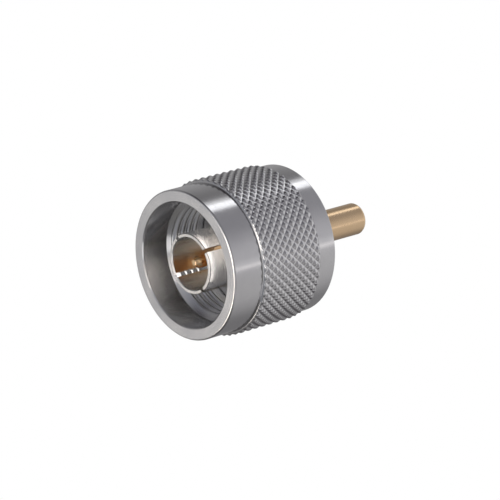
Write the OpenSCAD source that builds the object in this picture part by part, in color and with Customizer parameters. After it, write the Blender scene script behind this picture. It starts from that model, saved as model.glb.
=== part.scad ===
// N type coaxial plug for a 3.58 mm (0.141 inch) semi-rigid cable.
// The connector axis runs along Y. The mating face looks towards -Y and the
// cable leaves towards +Y. The origin is the centre of the solder sleeve's
// mouth, where the cable goes in. Lengths along the axis are called stations
// and are counted from the front rim of the coupling nut towards the cable.

/* [Overall] */
// Length from the front rim of the nut to the mouth of the solder sleeve
overall_len = 30.6; // [29.6:0.1:34]

/* [Coupling nut] */
// Length of the coupling nut
nut_len = 17.6; // [17.4:0.1:18.4]
// Diameter of the plain front and rear bands
band_d = 20.0; // [19.6:0.1:20.4]
// Diameter over the crests of the knurl
knurl_d = 21.0; // [20.6:0.1:21.8]
// Station where the front band ends and the shoulder of the knurl rises
knurl_from = 4.8; // [4.4:0.1:6]
// Station where the knurl ends
knurl_to = 14.5; // [14.2:0.1:15.6]
// Diameter of the smooth counterbore in the nut's mouth
mouth_d = 16.76; // [16.3:0.02:17.2]
// Station of the step where the thread starts
thread_from = 4.08; // [3.6:0.02:4.4]
// Station where the thread runs out into the relief
thread_to = 8.36; // [8:0.02:9]
// Minor diameter of the internal 5/8-24 thread
thread_minor_d = 14.86; // [14.73:0.01:14.99]
// Bore of the nut behind the thread, which turns on the body
nut_bore_d = 16.24; // [16.2:0.01:16.28]

/* [Mating side] */
// Station of the front face of the outer contact, the reference plane
ref_plane = 0.95; // [0.5:0.05:1.3]
// Outer diameter of the slotted outer contact
contact_od = 8.12; // [8:0.01:8.14]
// Inner diameter of the slotted outer contact
contact_id = 7.0; // [6.9:0.01:7.1]
// Width of the slots that split the outer contact into fingers
slot_w = 0.55; // [0.4:0.01:0.7]
// Length of the slots
slot_len = 7.3; // [6:0.1:7.8]
// Angle of the first slot round the axis, from +X towards +Z
slot_angle = 39.5; // [0:0.5:89]
// Diameter of the centre contact's mating pin
pin_d = 1.65; // [1.6:0.01:1.68]
// Distance of the pin's tip behind the reference plane
pin_setback = 0.7; // [0.5:0.05:1]
// Distance of the pin's shoulder behind the reference plane
shoulder_setback = 5.35; // [5.3:0.05:5.6]

/* [Cable side] */
// Outer diameter of the solder sleeve
sleeve_od = 4.34; // [4.1:0.02:4.5]
// Bore of the solder sleeve, for the cable's outer conductor
sleeve_id = 3.65; // [3.6:0.01:3.8]
// Diameter of the hub at the back of the body
hub_d = 10.4; // [9:0.1:12]
// Length of the hub behind the body's bush
hub_len = 4.2; // [3:0.1:4.4]

/* [Hidden] */
$fn = 96;

// running clearance, on radius, between the nut's bore and the body's bush
run_gap = 0.07;
bush_r = nut_bore_d / 2 - run_gap;
// stations of the body
flange_at = ref_plane + 9.2;
bush_end = 16.4;
hub_end = bush_end + hub_len;
// gasket seat
seat_r = 6.4;
seat_depth = 1.2;
gasket_r1 = 4.8;
gasket_r2 = seat_r - 0.05;
gasket_t = 1.5;
// retaining ring and its two grooves
ring_at = 12.75;
ring_t = 1.0;
ring_r1 = 7.25;
ring_r2 = 8.45;
ring_gap_deg = 24;
body_groove_r = 6.75;
nut_groove_r = 8.57;
side_gap = 0.12;
// bead and centre contact
bead_from = 13.6;
bead_to = 16.1;
seated = 0.01;
collar_r = 4.5;
bead_r = collar_r;
inner_r = 1.52;
neck_r = 1.2;
cup_r = 0.48;
cup_depth = 2.2;
// sleeve
sleeve_from = 17.2;
throat_r = 1.5;
// rounded edges of the nut
front_cham = 0.25;
rear_cham = 0.2;
rise = 0.06;

// puts a shape turned about Z, with stations along Z, on the connector axis
module on_axis() {
    translate([0, -overall_len, 0]) rotate([-90, 0, 0]) children();
}

// internally threaded nut with a knurled grip between two plain bands
module coupling_nut() {
    rb = band_d / 2;
    rk = knurl_d / 2;
    rm = mouth_d / 2;
    rt = thread_minor_d / 2;
    rn = nut_bore_d / 2;
    color([0.66, 0.66, 0.67])
    on_axis()
    rotate_extrude()
    polygon([
        [rm + 0.12, 0], [rb - front_cham, 0], [rb, front_cham],
        [rb, knurl_from], [rk, knurl_from + rise],
        [rk, knurl_to - rise], [rb, knurl_to],
        [rb, nut_len - rear_cham], [rb - rear_cham, nut_len],
        [rn + 0.3, nut_len], [rn, nut_len - 0.3],
        [rn, ring_at + ring_t + side_gap], [nut_groove_r, ring_at + ring_t + side_gap],
        [nut_groove_r, ring_at - side_gap], [rn, ring_at - side_gap],
        [rn, thread_to], [rt, thread_to], [rt, thread_from],
        [rm, thread_from], [rm, 0.12]
    ]);
}

// turned body: bush inside the nut with the gasket seat and ring groove, and hub
module connector_body() {
    ro = collar_r + seated;
    color([0.62, 0.62, 0.62])
    on_axis()
    rotate_extrude()
    polygon([
        [ro, flange_at + seat_depth], [seat_r, flange_at + seat_depth],
        [seat_r, flange_at], [bush_r - 0.1, flange_at], [bush_r, flange_at + 0.1],
        [bush_r, ring_at], [body_groove_r, ring_at],
        [body_groove_r, ring_at + ring_t + 0.1], [bush_r, ring_at + ring_t + 0.1],
        [bush_r, bush_end - 0.2], [bush_r - 0.2, bush_end],
        [hub_d / 2 + 0.5, bush_end], [hub_d / 2, bush_end + 0.5],
        [hub_d / 2, hub_end - 0.5], [hub_d / 2 - 0.5, hub_end],
        [sleeve_od / 2 + seated, hub_end], [sleeve_od / 2 + seated, sleeve_from],
        [throat_r, sleeve_from], [throat_r, bead_to], [ro, bead_to]
    ]);
}

// thin sprung tube, split by four slots, on a collar that seats in the body
module outer_contact() {
    r1 = contact_id / 2;
    r2 = contact_od / 2;
    color([0.72, 0.71, 0.69])
    on_axis()
    difference() {
        rotate_extrude()
        polygon([
            [r1 + 0.06, ref_plane], [r2 - 0.08, ref_plane], [r2, ref_plane + 0.12],
            [r2, flange_at + seat_depth], [collar_r, flange_at + seat_depth],
            [collar_r, bead_from], [r1, bead_from], [r1, ref_plane + 0.06]
        ]);
        for (i = [0:3])
            rotate([0, 0, i * 90 - slot_angle])
            translate([r1 - 0.8, -slot_w / 2, ref_plane - 1])
            cube([2, slot_w, slot_len + 1]);
    }
}

// turned pin with its shoulder, neck and solder cup
module centre_contact() {
    tip = ref_plane + pin_setback;
    sh = ref_plane + shoulder_setback;
    rp = pin_d / 2;
    color([0.85, 0.66, 0.32])
    on_axis()
    rotate_extrude()
    polygon([
        [0, tip], [0.3, tip], [0.42, tip + 0.06], [rp, tip + 0.75],
        [rp, sh], [inner_r - 0.1, sh], [inner_r, sh + 0.1],
        [inner_r, bead_from], [neck_r, bead_from], [neck_r, bead_to + 0.7],
        [neck_r - 0.1, bead_to + 0.8], [cup_r, bead_to + 0.8],
        [cup_r, bead_to + 0.8 - cup_depth], [0, bead_to + 0.8 - cup_depth]
    ]);
}

// bead that centres the pin in the body
module front_insulator() {
    color([0.93, 0.93, 0.90])
    on_axis()
    translate([0, 0, bead_from])
    difference() {
        cylinder(r = bead_r, h = bead_to - bead_from);
        translate([0, 0, -1]) cylinder(r = neck_r + seated, h = bead_to - bead_from + 2);
    }
}

// flat sealing ring round the root of the outer contact
module mating_gasket() {
    color([0.30, 0.30, 0.30])
    on_axis()
    translate([0, 0, flange_at + seat_depth - gasket_t])
    difference() {
        cylinder(r = gasket_r2, h = gasket_t);
        translate([0, 0, -1]) cylinder(r = gasket_r1, h = gasket_t + 2);
    }
}

// split wire ring that keeps the nut on the body and lets it turn
module snap_ring() {
    color([0.70, 0.62, 0.42])
    on_axis()
    rotate([0, 0, 90 + ring_gap_deg / 2])
    rotate_extrude(angle = 360 - ring_gap_deg)
    translate([ring_r1, ring_at])
    square([ring_r2 - ring_r1, ring_t]);
}

// plated tube that the cable's outer conductor is soldered into
module solder_sleeve() {
    r1 = sleeve_id / 2;
    r2 = sleeve_od / 2;
    color([0.80, 0.66, 0.42])
    on_axis()
    rotate_extrude()
    polygon([
        [r1, sleeve_from], [r2, sleeve_from],
        [r2, overall_len - 0.3], [r2 - 0.15, overall_len], [r1, overall_len]
    ]);
}

coupling_nut();
connector_body();
outer_contact();
centre_contact();
front_insulator();
mating_gasket();
snap_ring();
solder_sleeve();
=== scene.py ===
import bpy, math
import numpy as np
from mathutils import Matrix, Vector


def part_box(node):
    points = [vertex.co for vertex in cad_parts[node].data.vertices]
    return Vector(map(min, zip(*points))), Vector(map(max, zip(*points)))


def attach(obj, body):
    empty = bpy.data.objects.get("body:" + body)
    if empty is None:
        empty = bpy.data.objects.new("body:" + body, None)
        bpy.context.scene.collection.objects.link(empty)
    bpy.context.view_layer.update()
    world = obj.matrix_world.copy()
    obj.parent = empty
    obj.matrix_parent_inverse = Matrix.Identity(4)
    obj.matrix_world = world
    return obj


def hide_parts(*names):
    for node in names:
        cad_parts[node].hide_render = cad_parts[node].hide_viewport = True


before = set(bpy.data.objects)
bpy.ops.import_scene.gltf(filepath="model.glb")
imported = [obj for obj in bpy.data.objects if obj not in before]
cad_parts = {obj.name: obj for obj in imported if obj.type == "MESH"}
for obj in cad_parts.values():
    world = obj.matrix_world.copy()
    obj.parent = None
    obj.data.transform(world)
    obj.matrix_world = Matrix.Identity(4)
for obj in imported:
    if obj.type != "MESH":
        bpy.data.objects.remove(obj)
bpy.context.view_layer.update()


MM = 0.001
TAU = 2 * math.pi

# ---------------------------------------------------------------- places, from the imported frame
nut_lo, nut_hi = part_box("coupling_nut")
oc_lo, oc_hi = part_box("outer_contact")
pin_lo, pin_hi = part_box("centre_contact")
body_lo, body_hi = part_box("connector_body")
bead_lo, bead_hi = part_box("front_insulator")
gas_lo, gas_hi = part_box("mating_gasket")
ring_lo, ring_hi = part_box("snap_ring")
slv_lo, slv_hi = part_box("solder_sleeve")
Y0 = nut_lo.y                       # front rim of the nut: station 0


def st(y):
    """station in mm of a place along Y"""
    return (y - Y0) / MM


nut_len = st(nut_hi.y)
R_KNURL = nut_hi.x / MM
R_BAND = R_KNURL - 0.5
ref_s = st(oc_lo.y)
oc_end = st(oc_hi.y)
oc_r = 4.06
collar_r = oc_hi.x / MM
tip_s = st(pin_lo.y)
pin_end = st(pin_hi.y)
inner_r = pin_hi.x / MM
bead_s0, bead_s1 = st(bead_lo.y), st(bead_hi.y)
bead_r = bead_hi.x / MM
flange_s, hub_s = st(body_lo.y), st(body_hi.y)
bush_r = body_hi.x / MM
gas_s0, gas_s1, gas_r = st(gas_lo.y), st(gas_hi.y), gas_hi.x / MM
ring_s0, ring_s1, ring_r = st(ring_lo.y), st(ring_hi.y), 8.45
slv_s0, slv_s1, slv_r = st(slv_lo.y), st(slv_hi.y), slv_hi.x / MM


# ---------------------------------------------------------------- mesh helpers
def fillet(pts, closed=True, seg=3):
    """pts: (s, r, radius). Rounds each corner with an arc of that radius and returns (s, r) points."""
    out = []
    n = len(pts)
    for i, p in enumerate(pts):
        rad = p[2] if len(p) > 2 else 0.0
        if rad <= 0 or (not closed and i in (0, n - 1)):
            out.append((p[0], p[1]))
            continue
        a = np.array(pts[i - 1][:2], float)
        b = np.array(p[:2], float)
        c = np.array(pts[(i + 1) % n][:2], float)
        u, v = a - b, c - b
        lu, lv = np.linalg.norm(u), np.linalg.norm(v)
        u, v = u / lu, v / lv
        cosang = max(-1.0, min(1.0, float(u @ v)))
        half = math.acos(cosang) / 2
        d = min(rad / math.tan(half), lu * 0.49, lv * 0.49)
        rr = d * math.tan(half)
        bis = (u + v) / np.linalg.norm(u + v)
        cen = b + bis * (rr / math.sin(half))
        t0, t1 = b + u * d, b + v * d
        a0 = math.atan2(t0[1] - cen[1], t0[0] - cen[0])
        a1 = math.atan2(t1[1] - cen[1], t1[0] - cen[0])
        da = (a1 - a0 + math.pi) % TAU - math.pi
        for k in range(seg + 1):
            t = a0 + da * k / seg
            out.append((cen[0] + rr * math.cos(t), cen[1] + rr * math.sin(t)))
    return out


def loop_area(pts):
    """twice the signed area in the (s, r) plane"""
    return sum(pts[i - 1][0] * p[1] - p[0] * pts[i - 1][1] for i, p in enumerate(pts))


def profile_normals(pts, closed, crease=40.0):
    """(s, r) points of a turned section -> the normals, as (axial, radial), that its surface has there. A point at the end of
    a fillet takes the normal of the flat beside it; a sharp corner keeps one for each side."""
    table = {}
    n = len(pts)
    seg = []
    for i in range(n):
        a, b = pts[i], pts[(i + 1) % n]
        ds, dr = b[0] - a[0], b[1] - a[1]
        ln = math.hypot(ds, dr)
        seg.append((ln, -dr / ln, ds / ln) if ln > 1e-9 else None)
    for i in range(n):
        a = seg[i - 1] if closed or i > 0 else None
        b = seg[i] if closed or i < n - 1 else None
        if a is None or b is None:
            use = [x[1:] for x in (a, b) if x]
        else:
            turn = math.degrees(math.acos(max(-1.0, min(1.0, a[1] * b[1] + a[2] * b[2]))))
            if turn > crease:
                use = [a[1:], b[1:]]
            elif a[0] > 2.5 * b[0]:
                use = [a[1:]]
            elif b[0] > 2.5 * a[0]:
                use = [b[1:]]
            else:
                x, y = a[1] + b[1], a[2] + b[2]
                k = math.hypot(x, y)
                use = [(x / k, y / k)]
        table.setdefault((round(pts[i][0], 4), round(pts[i][1], 4)), []).extend(use)
    return table


def set_turned_normals(o, *tables):
    """gives every corner that lies on a turned section the section's own normal; the other corners keep theirs"""
    me = o.data
    table = {}
    for x in tables:
        for k, v in x.items():
            table.setdefault(k, []).extend(v)
    co = np.empty(len(me.vertices) * 3)
    me.vertices.foreach_get("co", co)
    co = co.reshape(-1, 3)
    s, r = (co[:, 1] - Y0) / MM, np.hypot(co[:, 0], co[:, 2]) / MM
    keys = [(round(float(a), 4), round(float(b), 4)) for a, b in zip(s, r)]
    near = {}
    for a, b in table:
        for da in (-0.0001, 0, 0.0001):
            for db in (-0.0001, 0, 0.0001):
                near.setdefault((round(a + da, 4), round(b + db, 4)), (a, b))
    vi = np.empty(len(me.loops), dtype=np.int64)
    me.loops.foreach_get("vertex_index", vi)
    cn = np.empty(len(me.loops) * 3)
    me.corner_normals.foreach_get("vector", cn)
    cn = cn.reshape(-1, 3).copy()
    fn = np.empty(len(me.polygons) * 3)
    me.polygons.foreach_get("normal", fn)
    fn = fn.reshape(-1, 3)
    size = np.empty(len(me.polygons), dtype=np.int64)
    me.polygons.foreach_get("loop_total", size)
    face = np.repeat(np.arange(len(me.polygons)), size)
    changed = 0
    for i, (v, f) in enumerate(zip(vi.tolist(), face.tolist())):
        k = near.get(keys[v])
        if k is None or r[v] < 1e-3:
            continue
        cx, cz = co[v, 0] / (r[v] * MM), co[v, 2] / (r[v] * MM)
        n = fn[f]
        axial, radial = n[1], n[0] * cx + n[2] * cz
        if axial * axial + radial * radial < 0.7:
            continue
        best = max(((sg * a * axial + sg * b * radial, sg * a, sg * b) for a, b in table[k] for sg in (1, -1)))
        cn[i] = (best[2] * cx, best[1], best[2] * cz)
        changed += 1
    me.normals_split_custom_set(cn.tolist())
    return changed


def mesh_object(name, verts, faces, body, node, mat, slot, smooth_deg=38.0):
    me = bpy.data.meshes.new(name)
    me.from_pydata([tuple(v) for v in verts], [], [f[::-1] for f in faces])     # outward normals
    me.validate()
    me.update()
    o = bpy.data.objects.new(name, me)
    bpy.context.scene.collection.objects.link(o)
    for p in me.polygons:
        p.use_smooth = True
    me.set_sharp_from_angle(angle=math.radians(smooth_deg))
    me.materials.append(mat)
    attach(o, body)
    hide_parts(node)
    return o


def soften(o, where):
    """edges whose two ends lie where this is true are shaded smooth"""
    me = o.data
    co = np.empty(len(me.vertices) * 3)
    me.vertices.foreach_get("co", co)
    co = co.reshape(-1, 3)
    inside = where((co[:, 1] - Y0) / MM, np.hypot(co[:, 0], co[:, 2]) / MM)
    ends = np.empty(len(me.edges) * 2, dtype=np.int64)
    me.edges.foreach_get("vertices", ends)
    ends = ends.reshape(-1, 2)
    sharp = np.empty(len(me.edges), dtype=bool)
    att = me.attributes["sharp_edge"]
    att.data.foreach_get("value", sharp)
    att.data.foreach_set("value", sharp & ~(inside[ends[:, 0]] & inside[ends[:, 1]]))


def to_xyz(s, r, phi):
    return np.stack([r * MM * np.cos(phi), Y0 + s * MM, r * MM * np.sin(phi)], -1)


def lathe_arrays(pts, cols, phi0=0.0):
    """closed (s, r) profile turned about the axis. Points on the axis (r = 0) are shared."""
    if loop_area(pts) > 0:
        pts = pts[::-1]
    n = len(pts)
    phi = phi0 + np.arange(cols) * TAU / cols
    verts, row = [], []
    for s, r in pts:
        if r < 1e-6:
            row.append([len(verts)] * cols)
            verts.append(to_xyz(np.float64(s), np.float64(0), np.float64(0)))
        else:
            row.append(list(range(len(verts), len(verts) + cols)))
            verts.extend(to_xyz(np.full(cols, s), np.full(cols, r), phi))
    faces = []
    for i in range(n):
        k = (i + 1) % n
        if pts[i][1] < 1e-6 and pts[k][1] < 1e-6:
            continue
        for j in range(cols):
            m = (j + 1) % cols
            q = [row[i][j], row[i][m], row[k][m], row[k][j]]
            f = []
            for v in q:
                if v not in f:
                    f.append(v)
            if len(f) > 2:
                faces.append(f)
    return verts, faces


def lathe(name, pts, cols, body, node, mat, slot, **kw):
    v, f = lathe_arrays(pts, cols)
    o = mesh_object(name, v, f, body, node, mat, slot, **kw)
    set_turned_normals(o, profile_normals(pts, True))
    return o


# ---------------------------------------------------------------- materials
def nodes_of(mat):
    mat.use_nodes = True
    nt = mat.node_tree
    nt.nodes.clear()
    return nt


def node(nt, kind, **inputs):
    n = nt.nodes.new(kind)
    for k, v in inputs.items():
        key = k.replace("_", " ")
        if key in n.inputs:
            n.inputs[key].default_value = v
    return n


def math_node(nt, op, a=None, b=None, c=None, clamp=False):
    n = nt.nodes.new("ShaderNodeMath")
    n.operation = op
    n.use_clamp = clamp
    for i, x in enumerate((a, b, c)):
        if x is None:
            continue
        if isinstance(x, (int, float)):
            n.inputs[i].default_value = x
        else:
            nt.links.new(x, n.inputs[i])
    return n.outputs[0]


def turned_coords(nt):
    """object coordinates and the same wrapped round the axis: (x/r, z/r, y) with the radius as the fourth"""
    tc = nt.nodes.new("ShaderNodeTexCoord")
    sep = nt.nodes.new("ShaderNodeSeparateXYZ")
    nt.links.new(tc.outputs["Object"], sep.inputs[0])
    x, y, z = sep.outputs
    r2 = math_node(nt, "ADD", math_node(nt, "MULTIPLY", x, x), math_node(nt, "MULTIPLY", z, z))
    r = math_node(nt, "SQRT", math_node(nt, "ADD", r2, 1e-10))
    ux = math_node(nt, "DIVIDE", x, r)
    uz = math_node(nt, "DIVIDE", z, r)
    return tc.outputs["Object"], x, y, z, r, ux, uz


def turned_noise(nt, co, across, around, detail=2.0):
    """noise drawn out along the turning marks: across is features per metre along the section, around is features per turn"""
    obj, x, y, z, r, ux, uz = co
    comb = nt.nodes.new("ShaderNodeCombineXYZ")
    nt.links.new(math_node(nt, "MULTIPLY", ux, around), comb.inputs[0])
    nt.links.new(math_node(nt, "MULTIPLY", uz, around), comb.inputs[1])
    nt.links.new(math_node(nt, "MULTIPLY", y, across), comb.inputs[2])
    nz = nt.nodes.new("ShaderNodeTexNoise")
    nz.noise_dimensions = "4D"
    nz.inputs["Scale"].default_value = 1.0
    nz.inputs["Detail"].default_value = detail
    nt.links.new(comb.outputs[0], nz.inputs["Vector"])
    nt.links.new(math_node(nt, "MULTIPLY", r, across), nz.inputs["W"])
    return nz.outputs[0]


def cloud(nt, co, scale, detail=3.0, rough=0.55):
    nz = nt.nodes.new("ShaderNodeTexNoise")
    nz.inputs["Scale"].default_value = scale
    nz.inputs["Detail"].default_value = detail
    nz.inputs["Roughness"].default_value = rough
    nt.links.new(co[0], nz.inputs["Vector"])
    return nz.outputs[0]


def ramp(nt, fac, stops):
    n = nt.nodes.new("ShaderNodeValToRGB")
    e = n.color_ramp.elements
    while len(e) > 1:
        e.remove(e[-1])
    e[0].position = stops[0][0]
    e[0].color = stops[0][1]
    for p, c in stops[1:]:
        x = e.new(p)
        x.color = c
    nt.links.new(fac, n.inputs[0])
    return n.outputs[0]


def remap(nt, fac, lo, hi, to_lo, to_hi):
    n = nt.nodes.new("ShaderNodeMapRange")
    for i, v in enumerate((lo, hi, to_lo, to_hi)):
        n.inputs[i + 1].default_value = v
    nt.links.new(fac, n.inputs[0])
    return n.outputs[0]


def plated(name, dark, light, rough=(0.16, 0.24), lines=2500.0, line_depth=2e-7, grain=9000.0,
           grain_depth=1e-7, mottle=260.0, aniso=0.0):
    """plated, turned metal: faint mottling in the colour, roughness that varies, turning marks and fine grain as bump"""
    mat = bpy.data.materials.new(name)
    nt = nodes_of(mat)
    out = nt.nodes.new("ShaderNodeOutputMaterial")
    p = nt.nodes.new("ShaderNodeBsdfPrincipled")
    nt.links.new(p.outputs[0], out.inputs[0])
    p.inputs["Metallic"].default_value = 1.0
    co = turned_coords(nt)
    m = cloud(nt, co, mottle, 4.0, 0.6)
    col = ramp(nt, m, [(0.3, (*dark, 1)), (0.7, (*light, 1))])
    nt.links.new(col, p.inputs["Base Color"])
    ln = turned_noise(nt, co, lines, 1.2, 2.0)
    gr = cloud(nt, co, grain, 2.0, 0.6)
    rv = math_node(nt, "ADD", math_node(nt, "MULTIPLY", ln, 0.5), math_node(nt, "MULTIPLY", m, 0.5))
    nt.links.new(remap(nt, rv, 0.35, 0.65, rough[0], rough[1]), p.inputs["Roughness"])
    b1 = nt.nodes.new("ShaderNodeBump")
    b1.inputs["Strength"].default_value = 1.0
    b1.inputs["Distance"].default_value = line_depth
    nt.links.new(ln, b1.inputs["Height"])
    b2 = nt.nodes.new("ShaderNodeBump")
    b2.inputs["Strength"].default_value = 1.0
    b2.inputs["Distance"].default_value = grain_depth
    nt.links.new(gr, b2.inputs["Height"])
    nt.links.new(b1.outputs[0], b2.inputs["Normal"])
    nt.links.new(b2.outputs[0], p.inputs["Normal"])
    if aniso:
        p.inputs["Anisotropic"].default_value = aniso
        p.inputs["Anisotropic Rotation"].default_value = 0.25
        tg = nt.nodes.new("ShaderNodeTangent")
        tg.direction_type = "RADIAL"
        tg.axis = "Y"
        nt.links.new(tg.outputs[0], p.inputs["Tangent"])
    return mat


def dielectric(name, dark, light, rough, ior, mottle=400.0, bump=2e-6, sss=0.0):
    mat = bpy.data.materials.new(name)
    nt = nodes_of(mat)
    out = nt.nodes.new("ShaderNodeOutputMaterial")
    p = nt.nodes.new("ShaderNodeBsdfPrincipled")
    nt.links.new(p.outputs[0], out.inputs[0])
    p.inputs["IOR"].default_value = ior
    if sss:
        p.inputs["Subsurface Weight"].default_value = sss
        p.inputs["Subsurface Radius"].default_value = (0.0006, 0.0005, 0.0004)
        p.inputs["Subsurface Scale"].default_value = 1.0
    co = turned_coords(nt)
    m = cloud(nt, co, mottle, 3.0, 0.5)
    nt.links.new(ramp(nt, m, [(0.3, (*dark, 1)), (0.7, (*light, 1))]), p.inputs["Base Color"])
    nt.links.new(remap(nt, m, 0.3, 0.7, rough[0], rough[1]), p.inputs["Roughness"])
    b = nt.nodes.new("ShaderNodeBump")
    b.inputs["Strength"].default_value = 1.0
    b.inputs["Distance"].default_value = bump
    nt.links.new(cloud(nt, co, 6000.0, 2.0, 0.5), b.inputs["Height"])
    nt.links.new(b.outputs[0], p.inputs["Normal"])
    return mat


M_NUT = plated("nut_plating", (0.69, 0.69, 0.70), (0.75, 0.75, 0.755), rough=(0.15, 0.2))
M_BODY = plated("body_plating", (0.69, 0.685, 0.68), (0.75, 0.745, 0.74), rough=(0.13, 0.19))
M_CONTACT = plated("contact_plating", (0.75, 0.745, 0.735), (0.80, 0.795, 0.785), rough=(0.2, 0.26))
M_GOLD = plated("gold_plating", (0.89, 0.63, 0.37), (0.94, 0.69, 0.43), rough=(0.12, 0.2))
M_SLEEVE = plated("sleeve_gold", (0.91, 0.66, 0.40), (0.95, 0.70, 0.44), rough=(0.22, 0.28), grain_depth=5e-8)
M_BRONZE = plated("spring_bronze", (0.55, 0.40, 0.20), (0.62, 0.47, 0.26), rough=(0.22, 0.3))
M_PTFE = dielectric("ptfe", (0.80, 0.80, 0.77), (0.86, 0.86, 0.84), (0.42, 0.5), 1.38, sss=0.3)
M_SIL = dielectric("silicone", (0.16, 0.155, 0.15), (0.20, 0.195, 0.19), (0.45, 0.6), 1.41)

# ---------------------------------------------------------------- coupling nut
K_RIGHT, K_LEFT = 56, 52                  # starts of the knurl's two groove families
K_AXIAL = 0.8118                          # grooves per mm along the axis, of each family
K_S0, K_S1 = 4.8, 14.5                    # stations of the knurl's two shoulders
K_MID = 9.7
K_DEPTH = 0.18
K_BOTTOM, K_TOP = 0.20, 0.13              # rounding of groove and ridge, as parts of the pitch
K_P, K_Q = 0.504, 0.227                   # where a groove of each family stands
COLS = 5 * (K_RIGHT + K_LEFT)             # ten for each cell of the knurl, so its ridges lie along mesh edges
PHI = (K_P + K_Q) * TAU / (K_RIGHT + K_LEFT) + np.arange(COLS) * TAU / COLS
PITCH = 25.4 / 24
R_MINOR, R_MAJOR = 7.43, 7.94
R_MOUTH = 8.38
R_BORE = bush_r + 0.07
T_S0, T_S1 = 4.08, 8.36
T_LEAD = 0.44                    # lead-in chamfer of the thread, at the foot of the mouth
T_PHASE = 0.30


def groove(t):
    """height across one groove, 0 at its bottom and 1 on the ridge: round bottom, straight flank, softened ridge"""
    d = np.abs((t + 0.5) % 1.0 - 0.5)
    a, b = K_BOTTOM, 0.5 - K_TOP
    lo = d * d / (2 * a)
    mid = d - a / 2
    hi = mid - np.maximum(d - b, 0) ** 2 / (2 * K_TOP)
    return np.where(d < a, lo, hi) / (0.5 - a / 2 - K_TOP / 2)


def knurl_phases(s, phi):
    return K_RIGHT * phi / TAU + K_AXIAL * (s - K_MID) - K_P, K_LEFT * phi / TAU - K_AXIAL * (s - K_MID) - K_Q


def knurl_r(s, phi):
    p, q = knurl_phases(s, phi)
    return R_KNURL - K_DEPTH * (1 - np.clip(np.minimum(groove(p), groove(q)), 0, 1))


def thread_r(s, phi):
    """internal thread: crest at the minor radius where the phase is whole"""
    t = (s + PITCH * phi / TAU) / PITCH - T_PHASE
    f = np.abs((t + 0.5) % 1.0 - 0.5) * PITCH
    crest = PITCH / 8 * 1.05
    flank = (R_MAJOR - R_MINOR) * math.tan(math.radians(30))
    x = np.clip((f - crest * 0.6) / (flank + crest * 0.8), 0, 1)
    return R_MINOR + (R_MAJOR - R_MINOR) * x * x * (3 - 2 * x)


class Grid:
    """rows of COLS vertices round the axis, joined one to the next"""

    def __init__(self):
        self.v, self.f = [], []
        self.n = 0

    def row(self, s, r):
        s = np.broadcast_to(np.asarray(s, float), (COLS,))
        r = np.broadcast_to(np.asarray(r, float), (COLS,))
        self.v.append(to_xyz(s, r, PHI))
        self.n += COLS
        return np.arange(self.n - COLS, self.n)

    def quads(self, a, b):
        """a, then b: seen from outside the metal, s rises from a to b and the angle rises along the row"""
        a2, b2 = np.roll(a, -1), np.roll(b, -1)
        self.f.extend(np.stack([a, a2, b2, b], -1).tolist())

    def helical(self, row_s, wrap, lead, radius, s_lo, s_hi, lo_row, hi_row, inner, along=None):
        """sheet between two plain rows whose own rows climb by lead mm a turn toward the front.
        row_s: station of each row at angle 0; the last column joins the first wrap rows back"""
        table = {}
        drop = lead * PHI / TAU

        def vid(j, c):
            if c == COLS:
                c, j = 0, j - wrap
            if j < 0:
                return int(lo_row[c])
            if j >= len(row_s):
                return int(hi_row[c])
            s = row_s[j] - drop[c]
            if s <= s_lo + 0.012:
                return int(lo_row[c])
            if s >= s_hi - 0.012:
                return int(hi_row[c])
            key = (j, c)
            if key not in table:
                table[key] = self.n
                self.v.append(to_xyz(np.array([s]), np.array([float(radius(s, PHI[c]))]), np.array([PHI[c]])))
                self.n += 1
            return table[key]

        for j in range(-1, len(row_s)):
            for c in range(COLS):
                q = [vid(j, c), vid(j, c + 1), vid(j + 1, c + 1), vid(j + 1, c)]
                if along is not None and len(set(q)) == 4:
                    mid_s = (row_s[j] + row_s[j + 1]) / 2 - (drop[c] + lead / COLS / 2)
                    if along(mid_s, PHI[c] + TAU / COLS / 2):
                        parts = [[q[0], q[1], q[3]], [q[1], q[2], q[3]]]
                    else:
                        parts = [[q[0], q[1], q[2]], [q[0], q[2], q[3]]]
                else:
                    f = []
                    for x in q:
                        if x not in f:
                            f.append(x)
                    parts = [f] if len(f) > 2 else []
                self.f.extend([p[::-1] for p in parts] if inner else parts)


def chain(g, pts, first=None):
    rows = [g.row(s, r) for s, r in pts]
    for a, b in zip(rows, rows[1:]):
        g.quads(a, b)
    if first is not None:
        g.quads(first, rows[0])
    return rows[0], rows[-1]


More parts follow.
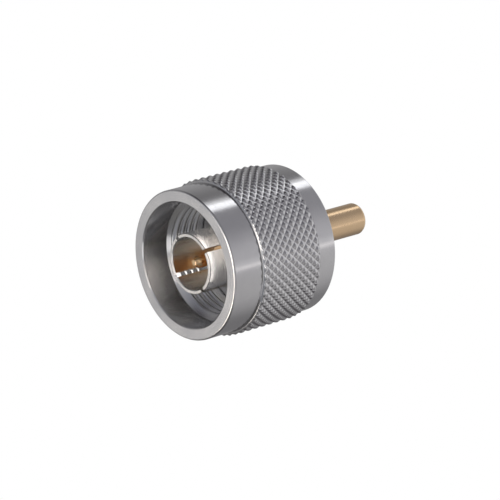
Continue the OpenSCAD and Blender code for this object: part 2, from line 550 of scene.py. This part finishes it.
def build_nut():
    g = Grid()
    # outer side, from the inner edge of the front face back to the knurl
    front = fillet([(0.0, R_MOUTH + 0.14, 0.0), (0.0, R_BAND, 0.22), (1.0, R_BAND, 0.0)], closed=False, seg=5)[:-1]
    front += fillet([(1.0, R_BAND, 0.0), (K_S0, R_BAND, 0.10), (K_S0 + 0.03, R_KNURL - 0.36, 0.0)], closed=False, seg=2)[1:]
    first, last = chain(g, front)
    # knurl: rows and columns meet on its grooves and ridges
    k0, k1 = K_S0 + 0.05, K_S1 - 0.05
    lo_row = g.row(k0, np.minimum(knurl_r(k0, PHI), R_KNURL - 0.04))
    hi_row = g.row(k1, np.minimum(knurl_r(k1, PHI), R_KNURL - 0.04))
    g.quads(last, lo_row)
    lead = (K_RIGHT - K_LEFT) / (2 * K_AXIAL)
    step = 0.1 / K_AXIAL
    base = K_MID + (K_P - K_Q) / (2 * K_AXIAL)
    j0 = math.floor((k0 - base) / step)
    j1 = math.ceil((k1 + lead * (1 + PHI[0] / TAU) - base) / step)
    row_s = [base + j * step for j in range(j0, j1 + 1)]

    def along(s, phi):
        p, q = knurl_phases(s, phi)
        return groove(p) < groove(q)

    g.helical(row_s, round(lead / step), lead, knurl_r, k0, k1, lo_row, hi_row, False, along)
    rear = fillet([(K_S1 - 0.03, R_KNURL - 0.36, 0.0), (K_S1, R_BAND, 0.08), (nut_len - 0.2, R_BAND, 0.10), (nut_len, R_BAND - 0.2, 0.06),
                   (nut_len, R_BORE + 0.3, 0.06), (nut_len - 0.3, R_BORE, 0.06), (ring_s1 + 0.12, R_BORE, 0.0),
                   (ring_s1 + 0.12, 8.57, 0.0), (ring_s0 - 0.12, 8.57, 0.0), (ring_s0 - 0.12, R_BORE, 0.0),
                   (T_S1, R_BORE, 0.0), (T_S1, R_MAJOR + 0.02, 0.0)], closed=False, seg=2)
    _, last = chain(g, rear, first=hi_row)
    # thread, wound along its helix
    crest = PITCH / 8 * 1.05 / PITCH
    flank = (R_MAJOR - R_MINOR) * math.tan(math.radians(30)) / PITCH
    c0, wide = crest * 0.6, flank + crest * 0.8
    cuts = sorted([-c0, c0, c0 + wide * 0.25, c0 + wide * 0.5, c0 + wide * 0.75, c0 + wide,
                   1 - c0 - wide, 1 - c0 - wide * 0.75, 1 - c0 - wide * 0.5, 1 - c0 - wide * 0.25])
    n0 = math.floor(T_S0 / PITCH - T_PHASE) - 1
    n1 = math.ceil(T_S1 / PITCH - T_PHASE) + 2
    hs = [(n + c + T_PHASE) * PITCH for n in range(n0, n1 + 1) for c in cuts]
    lo_row = g.row(T_S0 + T_LEAD, thread_r(T_S0 + T_LEAD, PHI))
    hi_row = g.row(T_S1, thread_r(T_S1, PHI))
    g.helical(hs, len(cuts), PITCH, thread_r, T_S0 + T_LEAD, T_S1, lo_row, hi_row, True)
    g.quads(last, hi_row)
    inner = fillet([(T_S0 + T_LEAD, R_MAJOR, 0.0), (T_S0, R_MOUTH, 0.04), (0.14, R_MOUTH, 0.06), (0.0, R_MOUTH + 0.14, 0.0)], closed=False, seg=3)[1:-1]
    _, lastm = chain(g, inner, first=lo_row)
    g.quads(lastm, first)
    inner = [(T_S0 + T_LEAD, R_MAJOR)] + inner + [front[0]]
    return np.concatenate(g.v), g.f, [front, rear, inner]


nv, nf, nut_sections = build_nut()
nut = mesh_object("nut_knurled", nv, nf, "nut", "coupling_nut", M_NUT, "nut_plating", smooth_deg=30)
soften(nut, lambda s, r: (r > R_KNURL - 0.3) & (s > K_S0 + 0.04) & (s < K_S1 - 0.04))
set_turned_normals(nut, *[profile_normals(x, False) for x in nut_sections])

# ---------------------------------------------------------------- outer contact with its four slots
SLOT_W, SLOT_LEN = 0.55, 7.3
SLOT_ANGLE = math.radians(39.5)


def build_contact():
    r1 = 3.5
    seat = gas_s1
    slot_end = ref_s + SLOT_LEN
    cols = []
    for q in range(4):
        a = SLOT_ANGLE + q * TAU / 4
        half = SLOT_W / 2 / 3.76
        inner = np.linspace(a + half, a + TAU / 4 - half, 27)
        cols.extend(inner.tolist())
        cols.extend(np.linspace(a + TAU / 4 - half, a + TAU / 4 + half, 5)[1:-1].tolist())
    cols = np.array(cols)
    C = len(cols)
    per = C // 4
    in_slot = np.array([(j % per) >= 26 for j in range(C)])       # face between column j and j + 1 lies in a slot
    # section loop: front ring, outer side to the slot's end, root, collar, bore and back
    loop = fillet([(ref_s, r1 + 0.12, 0.03), (ref_s, oc_r - 0.08, 0.05), (ref_s + 0.12, oc_r, 0.08), (slot_end, oc_r, 0), (seat, oc_r, 0.05),
                   (seat, collar_r, 0.05), (oc_end, collar_r, 0.05), (oc_end, r1, 0.05), (slot_end, r1, 0), (ref_s + 0.12, r1, 0.03)], closed=True, seg=3)
    if loop_area(loop) > 0:
        loop = loop[::-1]
    n = len(loop)
    verts, idx = [], {}

    def vid(i, j):
        j %= C
        key = (i % n, j)
        if key not in idx:
            s, r = loop[i % n]
            phi = cols[j]
            # slot walls are flat: the same offset from the slot's middle at each radius
            k = j % per
            quad = j // per
            if k == 26 or k == 0:
                mid = SLOT_ANGLE + (quad + (1 if k == 26 else 0)) * TAU / 4
                off = math.asin(SLOT_W / 2 / r)
                phi = mid - off if k == 26 else mid + off
            idx[key] = len(verts)
            verts.append(to_xyz(np.float64(s), np.float64(r), np.float64(phi)))
        return idx[key]

    faces = []
    slotted = [loop[i][0] < slot_end - 1e-6 or loop[(i + 1) % n][0] < slot_end - 1e-6 for i in range(n)]
    for i in range(n):
        for j in range(C):
            if slotted[i] and in_slot[j]:
                continue
            faces.append([vid(i, j), vid(i, j + 1), vid(i + 1, j + 1), vid(i + 1, j)])
    # slot side walls: the part of the section ahead of the slot's end, as one flat face on each side
    run = [i for i in range(n) if loop[i][0] <= slot_end + 1e-6]
    # order the run as a chain starting at the slot's end
    start = next(i for i in run if (i - 1) % n not in run)
    chain_ids = []
    i = start
    while i in run:
        chain_ids.append(i)
        i = (i + 1) % n
    for quad in range(4):
        j0 = quad * per + 26
        j1 = (quad + 1) * per
        faces.append([vid(i, j0) for i in chain_ids])
        faces.append([vid(i, j1) for i in chain_ids][::-1])
        # the slot's end wall
        for j in range(j0, j1):
            a, b = chain_ids[0], chain_ids[-1]
            faces.append([vid(a, j), vid(b, j), vid(b, j + 1), vid(a, j + 1)])
    return np.array(verts), faces, loop


cv, cf, contact_loop = build_contact()
contact = mesh_object("contact_slotted", cv, cf, "plug_body", "outer_contact", M_CONTACT, "contact_plating", smooth_deg=35)
set_turned_normals(contact, profile_normals(contact_loop, True))

# ---------------------------------------------------------------- turned pieces of the body
RP = 0.825
sh_s = ref_s + 5.35
pin_pts = fillet([(tip_s, 0.0, 0.0), (tip_s, 0.40, 0.12), (tip_s + 0.75, RP, 0.5), (sh_s, RP, 0.04), (sh_s, inner_r, 0.1),
                  (bead_s0, inner_r, 0.04), (bead_s0, 1.2, 0.03), (pin_end, 1.2, 0.08), (pin_end, 0.48, 0.05),
                  (pin_end - 2.2, 0.48, 0.1), (pin_end - 2.4 + 0.2, 0.0, 0.0)], seg=5)
pin = lathe("pin_turned", pin_pts, 96, "plug_body", "centre_contact", M_GOLD, "gold_plating")

RO = collar_r + 0.01
body_pts = fillet([(gas_s1, RO, 0.05), (gas_s1, 6.4, 0.05), (flange_s, 6.4, 0.06), (flange_s, bush_r, 0.12), (ring_s0, bush_r, 0.04),
                   (ring_s0, 6.75, 0.05), (ring_s1 + 0.1, 6.75, 0.05), (ring_s1 + 0.1, bush_r, 0.04), (16.4, bush_r, 0.2),
                   (16.4, 5.2, 0.5), (hub_s, 5.2, 0.5), (hub_s, slv_r + 0.01, 0.05), (slv_s0, slv_r + 0.01, 0.02), (slv_s0, 1.5, 0.04),
                   (bead_s1, 1.5, 0.04), (bead_s1, RO, 0.05)], seg=4)
body = lathe("body_turned", body_pts, 192, "plug_body", "connector_body", M_BODY, "body_plating")

sleeve_pts = fillet([(slv_s0, 1.825, 0.03), (slv_s0, slv_r, 0.04), (slv_s1 - 0.3, slv_r, 0.15), (slv_s1, slv_r - 0.15, 0.05), (slv_s1, 1.825, 0.04)], seg=4)
sleeve = lathe("sleeve_tube", sleeve_pts, 128, "plug_body", "solder_sleeve", M_SLEEVE, "sleeve_gold")

bead_pts = fillet([(bead_s0, 1.21, 0.05), (bead_s0, bead_r, 0.08), (bead_s1, bead_r, 0.08), (bead_s1, 1.21, 0.05)], seg=3)
bead = lathe("bead_turned", bead_pts, 128, "plug_body", "front_insulator", M_PTFE, "ptfe")

gasket_pts = fillet([(gas_s0, 4.8, 0.15), (gas_s0, gas_r, 0.2), (gas_s1, gas_r, 0.15), (gas_s1, 4.8, 0.15)], seg=4)
gasket = lathe("gasket_moulded", gasket_pts, 128, "plug_body", "mating_gasket", M_SIL, "silicone")


def build_ring():
    """split ring of square strip, with rounded edges and cut ends"""
    sec = fillet([(ring_s0, 7.25, 0.08), (ring_s0, ring_r, 0.08), (ring_s1, ring_r, 0.08), (ring_s1, 7.25, 0.08)], seg=3)
    if loop_area(sec) > 0:
        sec = sec[::-1]
    gap = math.radians(24)
    cols = np.linspace(-math.pi / 2 + gap / 2, -math.pi / 2 + TAU - gap / 2, 145)
    n, C = len(sec), len(cols)
    verts = [to_xyz(np.float64(s), np.float64(r), np.float64(p)) for p in cols for s, r in sec]
    faces = []
    for j in range(C - 1):
        for i in range(n):
            k = (i + 1) % n
            faces.append([j * n + i, (j + 1) * n + i, (j + 1) * n + k, j * n + k])
    faces.append([i for i in range(n)])
    faces.append([(C - 1) * n + i for i in range(n)][::-1])
    return np.array(verts), faces


rv, rf = build_ring()
snap = mesh_object("ring_split", rv, rf, "plug_body", "snap_ring", M_BRONZE, "spring_bronze", smooth_deg=40)

# ---------------------------------------------------------------- camera, as the photograph was taken
cam_data = bpy.data.cameras.new("camera")
cam = bpy.data.objects.new("camera", cam_data)
bpy.context.scene.collection.objects.link(cam)
cam_data.sensor_width = 36.0
cam_data.lens = 2886.49 / 500 * 36.0
cam_data.clip_start = 0.01
cam_data.clip_end = 50
right = Vector((0.6652, 0.7466, 0.0)).normalized()
fwd = Vector((-0.7097, 0.6323, -0.3107)).normalized()
up = right.cross(fwd).normalized()
right = fwd.cross(up).normalized()
ref = Vector((0, Y0 + 0.951 * MM, 0))
pos = ref + Vector((270.27, -230.32, 117.96)) * MM
m = Matrix((right, up, -fwd)).transposed().to_4x4()
m.translation = pos
cam.matrix_world = m
bpy.context.scene.camera = cam

# ---------------------------------------------------------------- floor and backdrop
FLOOR_Z = -R_KNURL * MM - 0.004


def emission(name, col, strength):
    mat = bpy.data.materials.new(name)
    nt = nodes_of(mat)
    out = nt.nodes.new("ShaderNodeOutputMaterial")
    e = nt.nodes.new("ShaderNodeEmission")
    e.inputs[0].default_value = (*col, 1)
    e.inputs[1].default_value = strength
    nt.links.new(e.outputs[0], out.inputs[0])
    return mat


def plane(name, centre, half, mat):
    me = bpy.data.meshes.new(name)
    x, y, z = centre
    me.from_pydata([(x - half, y - half, z), (x + half, y - half, z), (x + half, y + half, z), (x - half, y + half, z)], [], [(0, 1, 2, 3)])
    o = bpy.data.objects.new(name, me)
    bpy.context.scene.collection.objects.link(o)
    me.materials.append(mat)
    return o


floor = plane("floor", (0, 0, FLOOR_Z), 6.0, emission("floor_white", (1, 1, 1), 1.0))
bm = bpy.data.meshes.new("backdrop")
bv = [(x * 1.2, y * 1.2, z) for z in (FLOOR_Z, 1.2) for x, y in ((-1, -1), (1, -1), (1, 1), (-1, 1))]
bm.from_pydata(bv, [], [(0, 1, 5, 4), (1, 2, 6, 5), (2, 3, 7, 6), (3, 0, 4, 7), (4, 5, 6, 7)])
backdrop = bpy.data.objects.new("backdrop", bm)
bpy.context.scene.collection.objects.link(backdrop)
bm.materials.append(floor.data.materials[0])
for o in (floor, backdrop):
    for flag in ("visible_diffuse", "visible_glossy", "visible_transmission", "visible_volume_scatter", "visible_shadow"):
        setattr(o, flag, False)

# ---------------------------------------------------------------- light
world = bpy.data.worlds.new("studio")
bpy.context.scene.world = world
world.use_nodes = True
wt = world.node_tree
wt.nodes.clear()
wout = wt.nodes.new("ShaderNodeOutputWorld")
wbg = wt.nodes.new("ShaderNodeBackground")
wt.links.new(wbg.outputs[0], wout.inputs[0])
wtc = wt.nodes.new("ShaderNodeTexCoord")

# soft broad fills round the object: heading and height of the middle in degrees, then the colour at the middle
FILLS = (
    (30, -15, (0.22, 0.215, 0.215)),
    (88, 0, (0.50, 0.50, 0.50)),
    (180, 0, (0.22, 0.22, 0.22)),
    (-90, 0, (0.14, 0.15, 0.18)),
    (45, 40, (0.05, 0.05, 0.065)),
    (-45, 35, (0.20, 0.20, 0.20)),
    (-135, -35, (0.08, 0.08, 0.075)),
    (-45, -35, (0.06, 0.06, 0.05)),
)


def fill(direction, colour, before):
    """adds a round soft patch of light to what is already there"""
    dot = wt.nodes.new("ShaderNodeVectorMath")
    dot.operation = "DOT_PRODUCT"
    wt.links.new(wtc.outputs["Generated"], dot.inputs[0])
    dot.inputs[1].default_value = direction
    soft = wt.nodes.new("ShaderNodeMapRange")
    soft.interpolation_type = "SMOOTHSTEP"
    soft.inputs[1].default_value = math.cos(math.radians(65))
    soft.inputs[2].default_value = math.cos(math.radians(10))
    wt.links.new(dot.outputs["Value"], soft.inputs[0])
    sc = wt.nodes.new("ShaderNodeVectorMath")
    sc.operation = "SCALE"
    sc.inputs[0].default_value = colour
    wt.links.new(soft.outputs[0], sc.inputs["Scale"])
    add = wt.nodes.new("ShaderNodeVectorMath")
    add.operation = "ADD"
    wt.links.new(sc.outputs[0], add.inputs[1])
    if before is None:
        add.inputs[0].default_value = (0.065, 0.06, 0.065)
    else:
        wt.links.new(before, add.inputs[0])
    return add.outputs[0]


light = None
for az, el, colour in FILLS:
    a, e = math.radians(az), math.radians(el)
    light = fill((math.cos(e) * math.cos(a), math.cos(e) * math.sin(a), math.sin(e)), colour, light)
wt.links.new(light, wbg.inputs[0])
wbg.inputs[1].default_value = 1.0


def area(name, target, direction, dist, size, radiance, col=(1, 1, 1), along=(0, 1, 0)):
    """a rectangular soft light of this radiance, seen from target in this direction; size is (along, across)"""
    d = Vector(direction).normalized()
    ld = bpy.data.lights.new(name, "AREA")
    ld.shape = "RECTANGLE"
    ld.size, ld.size_y = size
    ld.color = col
    ld.energy = radiance * math.pi * size[0] * size[1]
    o = bpy.data.objects.new(name, ld)
    bpy.context.scene.collection.objects.link(o)
    z = d
    x = Vector(along)
    x = (x - x.dot(z) * z).normalized()
    y = z.cross(x)
    mm = Matrix((x, y, z)).transposed().to_4x4()
    mm.translation = Vector(target) + d * dist
    o.matrix_world = mm
    o.visible_camera = False
    return o


T = (0, Y0 + 8 * MM, 0)
area("top_soft", T, (-0.13, 0.62, 0.77), 0.8, (0.26, 0.13), 1.25, (0.97, 0.98, 1.0), along=(0.11, 0.77, -0.62))
area("top_tail", T, (-0.24, 0.62, 0.745), 0.8, (0.26, 0.12), 0.45, along=(0.11, 0.77, -0.62))
area("side_strip", T, (0.773, 0.632, -0.04), 0.8, (0.36, 0.045), 0.45, (1.0, 0.92, 0.90), along=(-0.63, 0.77, 0))
area("side_wide", T, (0.773, 0.632, 0.0), 0.8, (0.36, 0.16), 0.09, along=(-0.63, 0.77, 0))
area("front_core", T, (-0.25, -0.96, -0.12), 0.8, (0.26, 0.22), 2.5, (1.0, 0.93, 0.86), along=(1, 0, 0))
area("front_bar", T, (0.30, -0.92, 0.24), 0.8, (0.34, 0.30), 2.1, (1.0, 0.92, 0.83), along=(0.9, 0.3, 0.3))
area("front_wide", T, (0.0, -1.0, 0.05), 0.8, (1.0, 0.5), 0.35, along=(1, 0, 0))
area("front_right", T, (0.72, -0.68, 0.16), 0.8, (0.40, 0.30), 0.35, (1.0, 0.88, 0.70), along=(0.7, 0.7, 0))
area("front_low", T, (-0.45, -0.80, -0.35), 0.8, (0.30, 0.30), 4.2, (1.0, 0.89, 0.77), along=(0.9, -0.4, 0))
area("mouth_fill", T, (0.64, -0.71, -0.31), 0.8, (0.36, 0.30), 0.7, (1.0, 0.98, 0.96), along=(0.74, 0.67, 0))
area("face_soft", T, (-0.71, -0.63, -0.31), 0.8, (0.30, 0.30), 0.18, along=(0.6, -0.7, 0))
area("right_low", T, (0.75, -0.1, -0.6), 0.8, (0.40, 0.30), 0.4, (0.92, 0.92, 1.0), along=(0, 1, 0))

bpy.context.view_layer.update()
bpy.context.scene.view_settings.view_transform = "Standard"
cy = bpy.context.scene.cycles
cy.max_bounces = 16
cy.glossy_bounces = 14
cy.blur_glossy = 0.05
